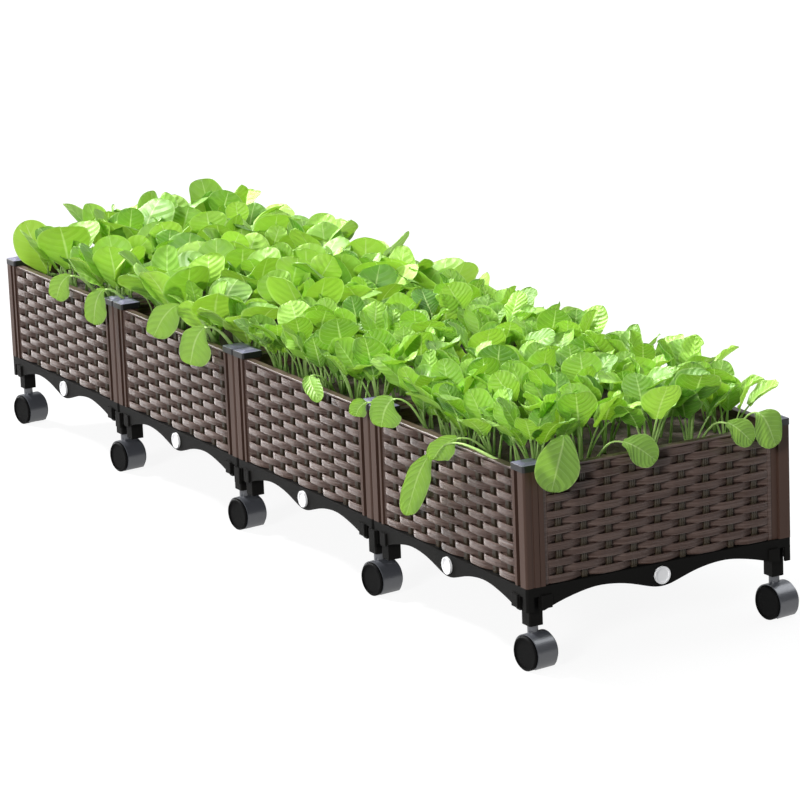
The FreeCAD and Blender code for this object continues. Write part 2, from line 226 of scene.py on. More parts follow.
def leaf_material(name, young, old, rib, veins, vein_mix, pucker, roughness):
    """Leaf with a pale midrib and side veins drawn from its own across and along coordinates."""
    mat, tree = node_tree(name)
    uv = add(tree, "ShaderNodeUVMap", uv_map="leaf").outputs[0]
    split = add(tree, "ShaderNodeSeparateXYZ", {0: uv})
    sideways = math_node(tree, "SUBTRACT", math_node(tree, "MULTIPLY", split.outputs[0], 2.0), 1.0)
    across = math_node(tree, "ABSOLUTE", sideways)
    along = split.outputs[1]
    tint = add(tree, "ShaderNodeAttribute", attribute_name="tint").outputs["Fac"]
    coords = add(tree, "ShaderNodeTexCoord").outputs["Object"]
    blotch = noise(tree, coords, 55.0, 3.0)

    rib_width = math_node(tree, "SUBTRACT", RIB_WIDTH, math_node(tree, "MULTIPLY", along, RIB_TAPER))
    rib_mask = smooth_ramp(tree, across, rib_width, 0.0)
    slanted = math_node(tree, "SUBTRACT", along, math_node(tree, "MULTIPLY", across, VEIN_SLANT))
    phase = math_node(tree, "MULTIPLY", slanted, veins)
    wave = math_node(tree, "ABSOLUTE", math_node(tree, "SUBTRACT", math_node(tree, "FRACT", phase), 0.5))
    vein_line = smooth_ramp(tree, wave, 0.10, 0.0)
    vein_fade = math_node(tree, "SUBTRACT", 1.0, math_node(tree, "MULTIPLY", across, 0.75), clamp=True)
    vein = math_node(tree, "MULTIPLY", vein_line, vein_fade)

    blotched = math_node(tree, "MULTIPLY", blotch, 0.35)
    tinted = math_node(tree, "MULTIPLY", tint, 0.90)
    mottled = math_node(tree, "ADD", blotched, tinted, clamp=True)
    green = mix_colour(tree, mottled, rgba(*old), rgba(*young))
    veined = mix_colour(tree, math_node(tree, "MULTIPLY", vein, vein_mix), green, rgba(*rib))
    ribbed = mix_colour(tree, math_node(tree, "MULTIPLY", rib_mask, RIB_MIX), veined, rgba(*rib))
    # painted highlight: a pale band along each blade's edge stands in for light catching the edges
    margin = smooth_ramp(tree, across, 0.84, 1.0)
    edge_highlighted = mix_colour(tree, math_node(tree, "MULTIPLY", margin, LEAF_EDGE_HIGHLIGHT_MIX), ribbed, rgba(*rib))
    back = add(tree, "ShaderNodeNewGeometry").outputs["Backfacing"]
    sided = mix_colour(tree, math_node(tree, "MULTIPLY", back, UNDERSIDE_MIX), edge_highlighted, rgba(0.42, 0.64, 0.20))
    # painted shade: darker green towards the soil, only inside the boxes
    place = add(tree, "ShaderNodeSeparateXYZ", {0: coords})
    low = ramp(tree, place.outputs[2], *PAINTED_SHADE_HEIGHTS)
    off_sides = ramp(tree, math_node(tree, "ABSOLUTE", place.outputs[1]), *PAINTED_SHADE_SIDE)
    off_ends = ramp(tree, math_node(tree, "ABSOLUTE", place.outputs[0]), *PAINTED_SHADE_END)
    depth = math_node(tree, "MULTIPLY", low, math_node(tree, "MULTIPLY", off_sides, off_ends))
    base = mix_colour(tree, math_node(tree, "MULTIPLY", depth, PAINTED_SHADE_MIX), sided, rgba(0.030, 0.12, 0.008))

    bulge = math_node(tree, "MULTIPLY", wave, 0.5)
    relief = math_node(tree, "ADD", bulge, math_node(tree, "MULTIPLY", blotch, pucker))
    bump = add(tree, "ShaderNodeBump", {"Strength": 0.9, "Distance": 0.0030, "Height": relief}).outputs[0]
    surface = add(tree, "ShaderNodeBsdfPrincipled", {
        "Base Color": base, "Roughness": roughness, "Normal": bump, "Specular IOR Level": 0.30})
    glow = mix_colour(tree, 0.5, base, rgba(0.45, 0.80, 0.02))
    through = add(tree, "ShaderNodeBsdfTranslucent", {"Color": glow})
    both = add(tree, "ShaderNodeMixShader", {0: THROUGH_SHARE, 1: surface.outputs[0], 2: through.outputs[0]})
    output(tree, both)
    return mat


FLOOR_TONE = 0.11
FLOOR_GLOW = 0.91


def floor_material():
    """Plain white studio floor that glows evenly, so that shadows on it stay faint."""
    mat, tree = node_tree("studio_floor")
    shader = add(tree, "ShaderNodeBsdfPrincipled", {
        "Base Color": rgba(FLOOR_TONE, FLOOR_TONE, FLOOR_TONE), "Roughness": 0.9, "Specular IOR Level": 0.0,
        "Emission Color": rgba(1.0, 1.0, 1.0), "Emission Strength": FLOOR_GLOW})
    output(tree, shader)
    return mat


# ---------------------------------------------------------------- meshes

class Surface:
    """Collects points and faces of one piece, with a tint for each point and optional leaf coordinates."""

    def __init__(self):
        self.points = []
        self.faces = []
        self.leaf = []
        self.tint = []
        self.count = 0

    def grid(self, points, closed=False, leaf=None, tint=0.0):
        """Adds a grid of points (rows, columns, 3) as quads; closed joins the last column to the first."""
        rows, columns = points.shape[:2]
        index = np.arange(rows * columns).reshape(rows, columns) + self.count
        left, right = index, np.roll(index, -1, axis=1)
        if not closed:
            left, right = left[:, :-1], right[:, :-1]
        quads = np.stack([left[:-1], right[:-1], right[1:], left[1:]], axis=-1).reshape(-1, 4)
        self.points.append(points.reshape(-1, 3))
        self.faces.append(quads)
        if leaf is not None:
            self.leaf.append(leaf.reshape(-1, 2))
        self.tint.append(np.full(rows * columns, tint))
        self.count += rows * columns

    def tube(self, points, leaf=None, tint=0.0):
        """Adds a closed tube of rings with both ends shut."""
        ends = [np.repeat(ring.mean(axis=0)[None, None], points.shape[1], axis=1)
                for ring in (points[0], points[-1])]
        whole = np.concatenate([ends[0], points, ends[1]])
        coords = None if leaf is None else np.broadcast_to(leaf, whole.shape[:2] + (2,))
        self.grid(whole, closed=True, leaf=coords, tint=tint)

    def piece(self, name, material):
        """Turns the collected surface into a piece of the object that rides on the planter."""
        mesh = bpy.data.meshes.new(name)
        points = np.concatenate(self.points)
        mesh.from_pydata(points.tolist(), [], np.concatenate(self.faces).tolist())
        if self.leaf:
            coords = np.concatenate(self.leaf)
            layer = mesh.uv_layers.new(name="leaf")
            order = np.empty(len(mesh.loops), dtype=np.int32)
            mesh.loops.foreach_get("vertex_index", order)
            layer.data.foreach_set("uv", coords[order].astype(np.float32).ravel())
        tint = mesh.attributes.new("tint", "FLOAT", "POINT")
        tint.data.foreach_set("value", np.concatenate(self.tint).astype(np.float32))
        mesh.polygons.foreach_set("use_smooth", [True] * len(mesh.polygons))
        mesh.materials.append(material)
        mesh.update()
        piece = bpy.data.objects.new(name, mesh)
        bpy.context.scene.collection.objects.link(piece)
        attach(piece, "planter")
        return piece


CHAMFER = 0.0008


def block(surface, low, high):
    """Box with small chamfers, as a closed tube of rings along X."""
    (x0, y0, z0), (x1, y1, z1) = low, high
    rings = []
    for x, inset in ((x0, CHAMFER), (x0 + CHAMFER, 0.0), (x1 - CHAMFER, 0.0), (x1, CHAMFER)):
        c = CHAMFER + inset
        ring = [(y0 + inset, z0 + c), (y0 + inset, z1 - c), (y0 + c, z1 - inset), (y1 - c, z1 - inset),
                (y1 - inset, z1 - c), (y1 - inset, z0 + c), (y1 - c, z0 + inset), (y0 + c, z0 + inset)]
        rings.append([(x, y, z) for y, z in ring])
    surface.tube(np.array(rings))


# Woven panel, drawn for the front side of a box centred on the origin.
PANEL_HALF = 0.171
EDGE = 0.006
LIP_BOTTOM = 0.2545
WARPS = 9
ROWS = 14
WARP_PITCH = 2 * (PANEL_HALF - EDGE) / WARPS
ROW_BOTTOM = TRAY_TOP + 0.001
ROW_PITCH = (LIP_BOTTOM - ROW_BOTTOM) / ROWS
STRAND_HEIGHT = 0.94 * ROW_PITCH
STRAND_THICK = 0.0017
WEAVE_DEPTH = 0.0060     # middle of the weave behind the posts' faces
WEAVE_SWING = 0.0044
WARP_HALF = 0.0040
WARP_THICK = 0.0032
WARP_SINK = 0.0012       # how far the bars stand behind the middle of the weave
WEAVE_SKEW = 0.24        # strands rise quickly on their left and fall slowly on their right
WEAVE_FULLNESS = 2.2     # above 1 gives long crests and short dips
RIDGES = 5
RIDGE_DEPTH = 0.0004
PATH_STEPS = 14          # points along a strand for each warp it passes
SHARP_ANGLE = 40         # degrees; panel edges sharper than this are not smoothed


def strand_centre(warp_units, row):
    """Depth of a strand behind the posts' faces: over every second warp and behind the others."""
    turn = np.pi * (warp_units - 0.5 - (row % 2))
    dip = (1 - np.cos(turn + WEAVE_SKEW * np.cos(turn))) / 2
    return WEAVE_DEPTH - WEAVE_SWING * (1 - 2 * dip ** WEAVE_FULLNESS)


def strand(surface, row):
    """One flat strand across the panel, crowned and finely ridged along its face."""
    units = np.linspace(0, WARPS, WARPS * PATH_STEPS + 1)
    x = -PANEL_HALF + EDGE + units * WARP_PITCH
    y = -HALF + strand_centre(units, row)
    middle = ROW_BOTTOM + (row + 0.5) * ROW_PITCH
    h, t = STRAND_HEIGHT / 2, STRAND_THICK / 2
    section = [(-t * 0.5, -h)]
    for k in range(2 * RIDGES + 1):
        rise = -0.86 + 1.72 * k / (2 * RIDGES)
        section.append((-t * (1.35 - 0.35 * rise * rise) + (RIDGE_DEPTH if k % 2 == 0 else 0.0), h * rise))
    section += [(-t * 0.5, h), (t * 0.8, h), (t * 0.8, -h)]
    slope = np.gradient(y, x)
    normal = np.stack([-slope, np.ones_like(slope)], axis=1) / np.hypot(slope, 1.0)[:, None]
    rings = np.empty((len(x), len(section), 3))
    for k, (depth, rise) in enumerate(section):
        rings[:, k, 0] = x + normal[:, 0] * depth
        rings[:, k, 1] = y + normal[:, 1] * depth
        rings[:, k, 2] = middle + rise
    surface.tube(rings)


def warp_bar(surface, index):
    """Upright bar with two shallow grooves, which the strands pass in front of and behind."""
    x = -PANEL_HALF + EDGE + (index + 0.5) * WARP_PITCH
    y = -HALF + WEAVE_DEPTH + WARP_SINK
    w, t = WARP_HALF, WARP_THICK / 2
    left = [(-w, t), (-w, -t * 0.6), (-w * 0.8, -t), (-w * 0.5, -t), (-w * 0.38, -t * 0.55), (-w * 0.26, -t)]
    section = left + [(-a, b) for a, b in reversed(left)]
    rings = [[(x + a, y + b, z) for a, b in section] for z in (TRAY_TOP + 0.0002, LIP_BOTTOM + 0.001)]
    # tint 1 gives the bar its olive brown, darkened as painted shade
    surface.tube(np.array(rings), tint=1.0)


def woven_panel_surface():
    """All of one front panel."""
    surface = Surface()
    front = -HALF + 0.0025
    back = -HALF + 0.0110
    block(surface, (-PANEL_HALF, front, TRAY_TOP), (-PANEL_HALF + EDGE, back, POST_TOP - 0.0005))
    block(surface, (PANEL_HALF - EDGE, front, TRAY_TOP), (PANEL_HALF, back, POST_TOP - 0.0005))
    lip, sheet = PANEL_HALF - 0.0005, PANEL_HALF - 0.001
    block(surface, (-lip, front + 0.0006, LIP_BOTTOM), (lip, -HALF + 0.0148, POST_TOP))
    block(surface, (-sheet, -HALF + 0.0102, TRAY_TOP), (sheet, -HALF + 0.0120, LIP_BOTTOM + 0.001))
    for index in range(WARPS):
        warp_bar(surface, index)
    for row in range(ROWS):
        strand(surface, row)
    return surface


def placed(surface, turn, dx):
    """Copy of a surface turned about the vertical and shifted along the row."""
    rotation = np.array(Matrix.Rotation(math.radians(turn), 3, "Z"))
    copy = Surface()
    copy.faces = surface.faces
    copy.tint = surface.tint
    copy.points = [points @ rotation.T + np.array([dx, 0, 0]) for points in surface.points]
    return copy


def woven_panels(material):
    """The sixteen panels, one piece for each CAD panel."""
    pattern = woven_panel_surface()
    for number in range(1, MODULES + 1):
        for side, turn in SIDE_TURNS.items():
            name = "panel_%s_%d" % (side, number)
            piece = placed(pattern, turn, module_x(number)).piece("weave_%s_%d" % (side, number), material)
            piece.data.set_sharp_from_angle(angle=math.radians(SHARP_ANGLE))
            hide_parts(name)


# ---------------------------------------------------------------- soil

SOIL_STEPS = 56
SOIL_LUMP = 0.004
SOIL_INNER = 0.1685      # beyond this from a box's middle the soil dips, and sinks away behind the posts
SOIL_GAP = 0.0005        # kept to the CAD block of soil on each side


def edges_of(grid):
    """The four edges of a grid of points."""
    return grid[0], grid[-1], grid[:, 0], grid[:, -1]


def soil_beds(material):
    """Lumpy soil surface of each box, closed underneath."""
    for number in range(1, MODULES + 1):
        low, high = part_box("soil_%d" % number)
        side = np.linspace(0, 1, SOIL_STEPS)
        u, v = np.meshgrid(side, side, indexing="ij")
        x = low[0] + SOIL_GAP + u * (high[0] - low[0] - 2 * SOIL_GAP)
        y = low[1] + SOIL_GAP + v * (high[1] - low[1] - 2 * SOIL_GAP)
        lumps = RNG.normal(0, 1, (SOIL_STEPS, SOIL_STEPS))
        for _ in range(2):
            lumps = (lumps + np.roll(lumps, 1, 0) + np.roll(lumps, -1, 0)
                     + np.roll(lumps, 1, 1) + np.roll(lumps, -1, 1)) / 5
        near_wall = np.maximum(np.abs(x - module_x(number)), np.abs(y)) > SOIL_INNER
        under_post = np.minimum(np.abs(x - module_x(number)), np.abs(y)) > SOIL_INNER
        height = SOIL_TOP + SOIL_LUMP * lumps - 0.001 - 0.002 * near_wall
        height = np.where(under_post, TRAY_TOP + 0.004, height)
        top = np.stack([x, y, height], axis=-1)
        base = top.copy()
        base[..., 2] = TRAY_TOP + 0.002
        surface = Surface()
        surface.grid(top)
        surface.grid(base[:, ::-1])
        for under, over in zip(edges_of(base), edges_of(top)):
            surface.grid(np.stack([under, over]))
        piece = surface.piece("soil_surface_%d" % number, material)
        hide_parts("soil_%d" % number)


# ---------------------------------------------------------------- greens

# Two kinds of leaf, in metres.
# widest: where along the blade it is broadest; neck: width at the stalk, as a share of the widest.
# stalk, blade: lengths; share: width of a blade as a share of its length; cup: how far the margins rise.
# ripple, pucker: height of the waves along the margin and between the veins; thick: radius of the stalk.
# leaves: the fewest in a plant, and one more than the most; spots: plants along and across a box.
KINDS = {
    "round": {"widest": 0.58, "neck": 0.16, "stalk": (0.030, 0.050), "blade": (0.066, 0.090),
              "share": (0.82, 0.98), "cup": (-0.008, 0.010), "ripple": 0.0012, "pucker": 0.0004,
              "veins": 6.0, "thick": 0.0032, "leaves": (5, 8), "spots": 4},
    "oval": {"widest": 0.47, "neck": 0.24, "stalk": (0.044, 0.066), "blade": (0.046, 0.062),
             "share": (0.76, 0.92), "cup": (-0.010, 0.001), "ripple": 0.0015, "pucker": 0.0011,
             "veins": 8.0, "thick": 0.0021, "leaves": (5, 7), "spots": 5},
}
ROUND_BOXES = 2          # the first boxes of the row hold round leaves, the others oval ones
BLADE_ROWS = 27
BLADE_COLUMNS = 13
STALK_SIDES = 6
SLIM_STALK = 0.0016
ARCH_STEPS = 22          # points along the axis of a leaf in a plant
CURL = 1.4               # above 1 a leaf bends more near its tip
LEAF_STEPS = 26          # points along the axis of a leaf drawn through given points
ROOT_DEPTH = 0.004       # plants start this far below the soil's surface
GROWN_HALF = 0.165       # farthest that sprouts and standing leaves are rooted from a box's middle
PLANT_HALF = 0.148       # outermost plants from a box's middle
PLANT_SHIFT = 0.014      # random shift of a plant from its place in the grid
SIDE_LIMIT = 0.2250      # foliage is pressed back towards the boxes beyond these
END_LIMIT = 0.8130
TOP_LIMIT = 0.3480
CORNER_AXIS = np.array([0.478, 0.878, 0.0])   # foliage is also pressed back at both ends of this diagonal
CORNER_LIMIT = 0.5390
ROOM = 0.0070            # how far past the limits pressed foliage still reaches
SPROUTS = 40             # per box
SPROUT_STALK = (0.022, 0.054)
SPROUT_BLADE = (0.030, 0.046)
CLEARING = np.array([-0.740, -0.175])    # plants and tall leaves keep clear of one large leaf in this corner
CLEARING_REACH = 0.080
FAR_LEAF = ((-0.750, -0.150, 0.245), (-0.760, -0.180, 0.330), 0.060, 1.0)   # blade's ends, width, tint
TALL_GRID = 4            # tall leaves per box, along and across
TALL_HALF = 0.16         # half the room they stand in
TALL_SHIFT = 0.028       # random shift of a tall leaf from its place in the grid
TALL_BASE = (0.280, 0.308)    # height at which their blades start
TALL_RISE = (0.028, 0.046)    # from there to the tip
TALL_WIDTH = (0.028, 0.060)
FACING = np.array([0.47, 0.88, 0.0])     # direction in plan across the standing leaves
BULGE = np.array([0.86, -0.47, 0.2]) * 0.12    # how a standing blade bows, for each metre of its length
GROOVE = 0.0014          # depth of the groove over a midrib
# Leaves over the rims: rim, place along it, rise above it, slant along it, drop from that height, width.
OVERHANGS = [
    ("front", -0.535, 0.025, -0.030, 0.040, 0.038),
    ("front", -0.410, 0.025, -0.020, 0.055, 0.040),
    ("front", -0.145, 0.050, -0.075, 0.060, 0.050),
    ("front", -0.065, 0.030, -0.035, 0.060, 0.056),
    ("front", 0.255, 0.020, 0.045, 0.025, 0.026),
    ("front", 0.415, 0.015, -0.015, 0.020, 0.026),
    ("front", 0.490, 0.035, -0.020, 0.040, 0.050),
    ("front", 0.650, 0.015, -0.045, 0.035, 0.036),
    ("right", -0.145, 0.040, -0.025, 0.065, 0.066),
    ("right", -0.060, 0.020, 0.045, 0.030, 0.040),
    ("right", 0.095, 0.020, 0.035, 0.030, 0.034),
    ("right", 0.145, 0.025, 0.020, 0.045, 0.048),
]
ROUND_FROM = 0.060       # rim leaves wider than this are round ones
# Each rim's middle, the direction along it, the one out of it, and the one across its leaves.
RIMS = {
    "front": ((0.0, -HALF, POST_TOP), (1, 0, 0), (0, -1, 0), (0.74, 0.67, 0)),
    "right": (((MODULES - 1) * PITCH / 2 + HALF, 0.0, POST_TOP), (0, 1, 0), (1, 0, 0), (0, 1, 0.12)),
}
# One long leaf that leans out of the near box and droops along the front.
DROOPING_PATH = [(0.740, -0.180, 0.250), (0.665, -0.210, 0.270), (0.610, -0.218, 0.250),
                 (0.570, -0.218, 0.215), (0.525, -0.216, 0.145)]
DROOPING_ACROSS = np.array([0.75, 0.66, 0])
DROOPING_STALK = 0.56    # share of its length that is stalk
DROOPING_WIDTH = 0.036
DROOPING_BOX = 4
RIM_CUP = -0.004         # the margins of the leaves outside the boxes hang a little
RIM_TINT = 0.5


def unit(v):
    """Vectors scaled to length one."""
    return v / np.linalg.norm(v, axis=-1, keepdims=True)


def soft_limit(values, limit):
    """Presses what lies beyond a limit back to it, with a little room."""
    over = np.maximum(np.abs(values) - limit, 0)
    return np.sign(values) * (np.minimum(np.abs(values), limit) + ROOM * (1 - np.exp(-over / ROOM)))


def half_width(v, kind):
    """Half the width of a blade along it, as a share of its widest: narrow neck, round tip."""
    widest, neck = kind["widest"], kind["neck"]
    rise = neck + (1 - neck) * np.sin(np.pi / 2 * np.minimum(v / widest, 1)) ** 1.15
    fall = np.sqrt(np.clip(1 - (np.maximum(v - widest, 0) / (1 - widest)) ** 2.2, 0.0004, 1))
    return rise * fall


def leaf(surface, axis, stem_share, width, across, kind, cup, tint):
    """One leaf: a stalk along the first part of its axis, then a blade that carries on along the rest."""
    count = len(axis)
    tangent = unit(np.gradient(axis, axis=0))
    side = unit(across - tangent * (tangent @ across)[:, None])
    normal = np.cross(side, tangent)
    stem_end = max(3, int(round(stem_share * (count - 1))))
    stem = slice(0, stem_end + 1)
    angles = np.linspace(0, 2 * np.pi, STALK_SIDES + 1)[:-1]
    taper = np.linspace(1.0, 0.60, stem_end + 1)[:, None, None] * kind["thick"]
    ring = (np.cos(angles)[None, :, None] * side[stem, None] * 1.2
            + np.sin(angles)[None, :, None] * normal[stem, None] * 0.8)
    surface.tube(kept_inside(axis[stem, None] + ring * taper), leaf=np.array([0.5, 0.0]), tint=tint)

    v = 1 - (1 - np.linspace(0, 1, BLADE_ROWS)) ** 1.5
    u = np.linspace(-1, 1, BLADE_COLUMNS)
    place = stem_share + (1 - stem_share) * v
    length = np.linspace(0, 1, count)
    centre, wide, up = (np.stack([np.interp(place, length, line[:, k]) for k in range(3)], axis=1)
                        for line in (axis, side, normal))
    half = half_width(v, kind) * width / 2
    waves = RNG.uniform(0, 2 * np.pi, 2)
    edge = np.abs(u)[None, :] ** 2
    wavy = kind["ripple"] * edge * (np.sin(v[:, None] * 11 + waves[0] + 1.7 * np.sign(u)[None, :])
                                    + 0.6 * np.sin(v[:, None] * 19 + waves[1]))
    phase = kind["veins"] * (v[:, None] - VEIN_SLANT * np.abs(u)[None, :])
    fade = np.sqrt(np.abs(u))[None, :] * (1 - edge) * np.sin(np.pi * v)[:, None] ** 0.5
    pucker = kind["pucker"] * np.cos(2 * np.pi * phase) * fade
    groove = GROOVE * np.exp(-(u[None, :] / 0.14) ** 2)
    lift = cup * edge * half[:, None] / (width / 2) + wavy + pucker - groove
    spread = np.sin(u * 1.25) / np.sin(1.25)
    sideways = wide[:, None] * (half[:, None] * spread[None, :])[..., None]
    blade = centre[:, None] + sideways + up[:, None] * lift[..., None]
    coords = np.stack(np.broadcast_arrays((u[None, :] + 1) / 2, v[:, None]), axis=-1)
    surface.grid(kept_inside(blade), leaf=coords, tint=tint)


def kept_inside(points):
    """Points of foliage, pressed back into the room that it has round the boxes."""
    out = points.copy()
    for axis, limit in enumerate((END_LIMIT, SIDE_LIMIT, TOP_LIMIT)):
        out[..., axis] = soft_limit(out[..., axis], limit)
    along = out @ CORNER_AXIS
    return out + (soft_limit(along, CORNER_LIMIT) - along)[..., None] * CORNER_AXIS


def arching_axis(base, heading, total, lean_start, lean_end):
    """Points along a leaf that leans out more towards its tip; leans are degrees above the horizon."""
    s = np.linspace(0, 1, ARCH_STEPS)
    lean = np.radians(lean_start + (lean_end - lean_start) * s ** CURL)
    flat = np.array([math.cos(heading), math.sin(heading), 0.0])
    step = total / (ARCH_STEPS - 1)
    move = np.cos(lean)[:, None] * flat + np.sin(lean)[:, None] * np.array([0, 0, 1.0])
    return base + np.concatenate([np.zeros((1, 3)), np.cumsum((move[1:] + move[:-1]) / 2 * step, axis=0)])


def plant(surface, base, lean_out, kind):
    """A rosette: upright young leaves in the middle, wider and lower leaves round them."""
    leaves = int(RNG.integers(*kind["leaves"]))
    start = RNG.uniform(0, 2 * np.pi)
    size = RNG.uniform(0.90, 1.08)
    for k in range(leaves):
        age = k / (leaves - 1)
        heading = start + k * 2.4 + RNG.normal(0, 0.25)
        stalk, blade = RNG.uniform(*kind["stalk"]), RNG.uniform(*kind["blade"])
        width = blade * RNG.uniform(*kind["share"])
        cup = RNG.uniform(*kind["cup"])
        stalk, blade, width = (v * size * (0.86 + 0.18 * age) for v in (stalk, blade, width))
        lean_start = 86 - 14 * age + RNG.normal(0, 4)
        lean_end = 66 - 52 * age + RNG.normal(0, 15)
        foot = base + np.array([math.cos(heading), math.sin(heading), 0.0]) * 0.005
        axis = arching_axis(foot, heading, stalk + blade, lean_start, lean_end)
        rise = np.linspace(0, 1, len(axis))[:, None] ** 1.5
        axis = axis + rise * np.array([lean_out[0], lean_out[1], 0.0])
        turn = heading + math.pi / 2
        across = np.array([math.cos(turn), math.sin(turn), RNG.normal(0, 0.28)])
        tint = RNG.uniform(0, 1)
        leaf(surface, axis, stalk / (stalk + blade), width, unit(across), kind, cup, tint)


def sprouts(surface, number, kind):
    """Short leaves on thin stalks between the plants; about half of them stand along the front wall."""
    slim = dict(kind, thick=SLIM_STALK)
    for _ in range(SPROUTS):
        place = RNG.uniform(-GROWN_HALF, GROWN_HALF, 2)
        if RNG.uniform() < 0.5:
            place[1] = -0.160 + RNG.uniform(0, 0.02)
        heading = RNG.uniform(0, 2 * np.pi)
        stalk, blade = RNG.uniform(*SPROUT_STALK), RNG.uniform(*SPROUT_BLADE)
        base = np.array([module_x(number) + place[0], place[1], SOIL_TOP - ROOT_DEPTH])
        axis = arching_axis(base, heading, stalk + blade, 84, RNG.uniform(10, 70))
        across = np.array([-math.sin(heading), math.cos(heading), RNG.normal(0, 0.2)])
        tint = RNG.uniform(0, 1)
        leaf(surface, axis, stalk / (stalk + blade), blade * 0.8, unit(across), slim, -0.002, tint)


def standing_leaf(surface, start, tip, width, tint, kind, number):
    """A leaf on a long stalk from the soil, its blade between two given points."""
    start, tip = np.array(start), np.array(tip)
    low = [module_x(number) - GROWN_HALF, -GROWN_HALF]
    high = [module_x(number) + GROWN_HALF, GROWN_HALF]
    foot = np.clip(start[:2] - (tip - start)[:2] * 0.4, low, high)
    bulge = BULGE * np.linalg.norm(tip - start)
    points = [(foot[0], foot[1], SOIL_TOP), 0.5 * (np.append(foot, SOIL_TOP) + start) + bulge * 0.3, start,
              0.5 * (start + tip) + bulge, tip]
    axis = smooth_path(points)
    reach = np.linalg.norm(axis - start, axis=1)
    share = float(np.argmin(reach)) / (len(axis) - 1)
    turn = RNG.normal(0, 0.30)
    across = np.array([math.cos(turn) * FACING[0] - math.sin(turn) * FACING[1],
                       math.sin(turn) * FACING[0] + math.cos(turn) * FACING[1], RNG.normal(0, 0.10)])
    leaf(surface, axis, share, width * 1.08, unit(across), kind, RNG.uniform(-0.006, 0.004), tint)


def tall_leaves(surface, number, kind):
    """Larger leaves that stand up out of the crowd, spread evenly over one box."""
    places = (np.arange(TALL_GRID) + 0.5) / TALL_GRID * 2 * TALL_HALF - TALL_HALF
    for gx in places:
        for gy in places:
            shift = RNG.uniform(-TALL_SHIFT, TALL_SHIFT, 2)
            start = np.array([module_x(number) + gx + shift[0], gy + shift[1], RNG.uniform(*TALL_BASE)])
            lean = RNG.normal(0, 0.014, 2)
            tip = start + np.array([lean[0], lean[1], RNG.uniform(*TALL_RISE)])
            width, tint = RNG.uniform(*TALL_WIDTH), RNG.uniform(0, 1)
            if np.linalg.norm(start[:2] - CLEARING) > CLEARING_REACH:
                standing_leaf(surface, start, tip, width, tint, kind, number)


def overhang(surface, rim, along, rise, slant, drop, width, kind):
    """A leaf whose stalk arches over a rim and whose blade hangs down outside."""
    middle, forward, outward, across = (np.array(v, float) for v in RIMS[rim])
    steps = [(-0.30, -0.035, -0.012), (-0.15, -0.012, 0.7 * rise), (0.0, 0.009, rise),
             (0.45, 0.018, rise - 0.35 * drop), (1.0, 0.019, rise - drop)]
    points = []
    for share, out, up in steps:
        points.append(middle + forward * (along + slant * share) + outward * out + np.array([0, 0, up]))
    axis = smooth_path(points)
    stalk = float(np.argmin(np.linalg.norm(axis - points[2], axis=1))) / (len(axis) - 1)
    shape = KINDS["round"] if width > ROUND_FROM else kind
    leaf(surface, axis, stalk, width, unit(across), shape, RIM_CUP, RIM_TINT)


def smooth_path(points):
    """Even steps along a smooth curve through some points (Catmull-Rom)."""
    known = np.array(points)
    padded = np.concatenate([[2 * known[0] - known[1]], known, [2 * known[-1] - known[-2]]])
    t = np.linspace(0, len(known) - 1 - 1e-9, 8 * len(known))
    i = t.astype(int)
    f = (t - i)[:, None]
    p0, p1, p2, p3 = (padded[i + k] for k in range(4))
    square = 2 * p0 - 5 * p1 + 4 * p2 - p3
    cube = 3 * p1 - p0 - 3 * p2 + p3
    curve = 0.5 * (2 * p1 + (p2 - p0) * f + square * f ** 2 + cube * f ** 3)
    length = np.concatenate([[0], np.cumsum(np.linalg.norm(np.diff(curve, axis=0), axis=1))])
    even = np.linspace(0, length[-1], LEAF_STEPS)
    return np.stack([np.interp(even, length, curve[:, k]) for k in range(3)], axis=1)


def box_of(x):
    """Number of the box that a place along the row belongs to."""
    return int(min(max(round(x / PITCH + (MODULES + 1) / 2), 1), MODULES))


def greens(round_leaf, oval_leaf):
    """Foliage of each box as one piece."""
    crops = {"round": (round_leaf, "bok_choy_leaf"), "oval": (oval_leaf, "spinach_leaf")}
    for number in range(1, MODULES + 1):
        name = "round" if number <= ROUND_BOXES else "oval"
        kind = KINDS[name]
        material, slot = crops[name]
        spots = np.linspace(-PLANT_HALF, PLANT_HALF, kind["spots"])
        surface = Surface()
        for gx in spots:
            for gy in spots:
                shift = RNG.uniform(-PLANT_SHIFT, PLANT_SHIFT, 2)
                base = np.array([module_x(number) + gx + shift[0], gy + shift[1], SOIL_TOP - ROOT_DEPTH])
                if np.linalg.norm(base[:2] - CLEARING) >= CLEARING_REACH:
                    plant(surface, base, (0.06 * gx, 0.10 * min(gy, 0.05)), kind)
        sprouts(surface, number, kind)
        tall_leaves(surface, number, kind)
        if number == box_of(FAR_LEAF[0][0]):
            standing_leaf(surface, *FAR_LEAF, kind, number)
        for rim, along, rise, slant, drop, width in OVERHANGS:
            if number == (box_of(along) if rim == "front" else MODULES):
                overhang(surface, rim, along, rise, slant, drop, width, kind)
        if number == DROOPING_BOX:
            leaf(surface, smooth_path(DROOPING_PATH), DROOPING_STALK, DROOPING_WIDTH, unit(DROOPING_ACROSS),
                 kind, RIM_CUP, RIM_TINT)
        piece = surface.piece("foliage_%d" % number, material)
        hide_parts("greens_%d" % number)


# ---------------------------------------------------------------- scene

def dress_cad(materials):
    """Gives every CAD node that stays visible its material."""
    for name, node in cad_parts.items():
        for prefix, key in CAD_PLASTICS.items():
            if name.startswith(prefix):
                node.data.materials.clear()
                node.data.materials.append(materials[key])


FLOOR_REACH = 90.0
FLOOR_LEVEL = -0.0005
SKY_COLOUR = (0.97, 0.985, 1.0)
SKY_STRENGTH = 0.20
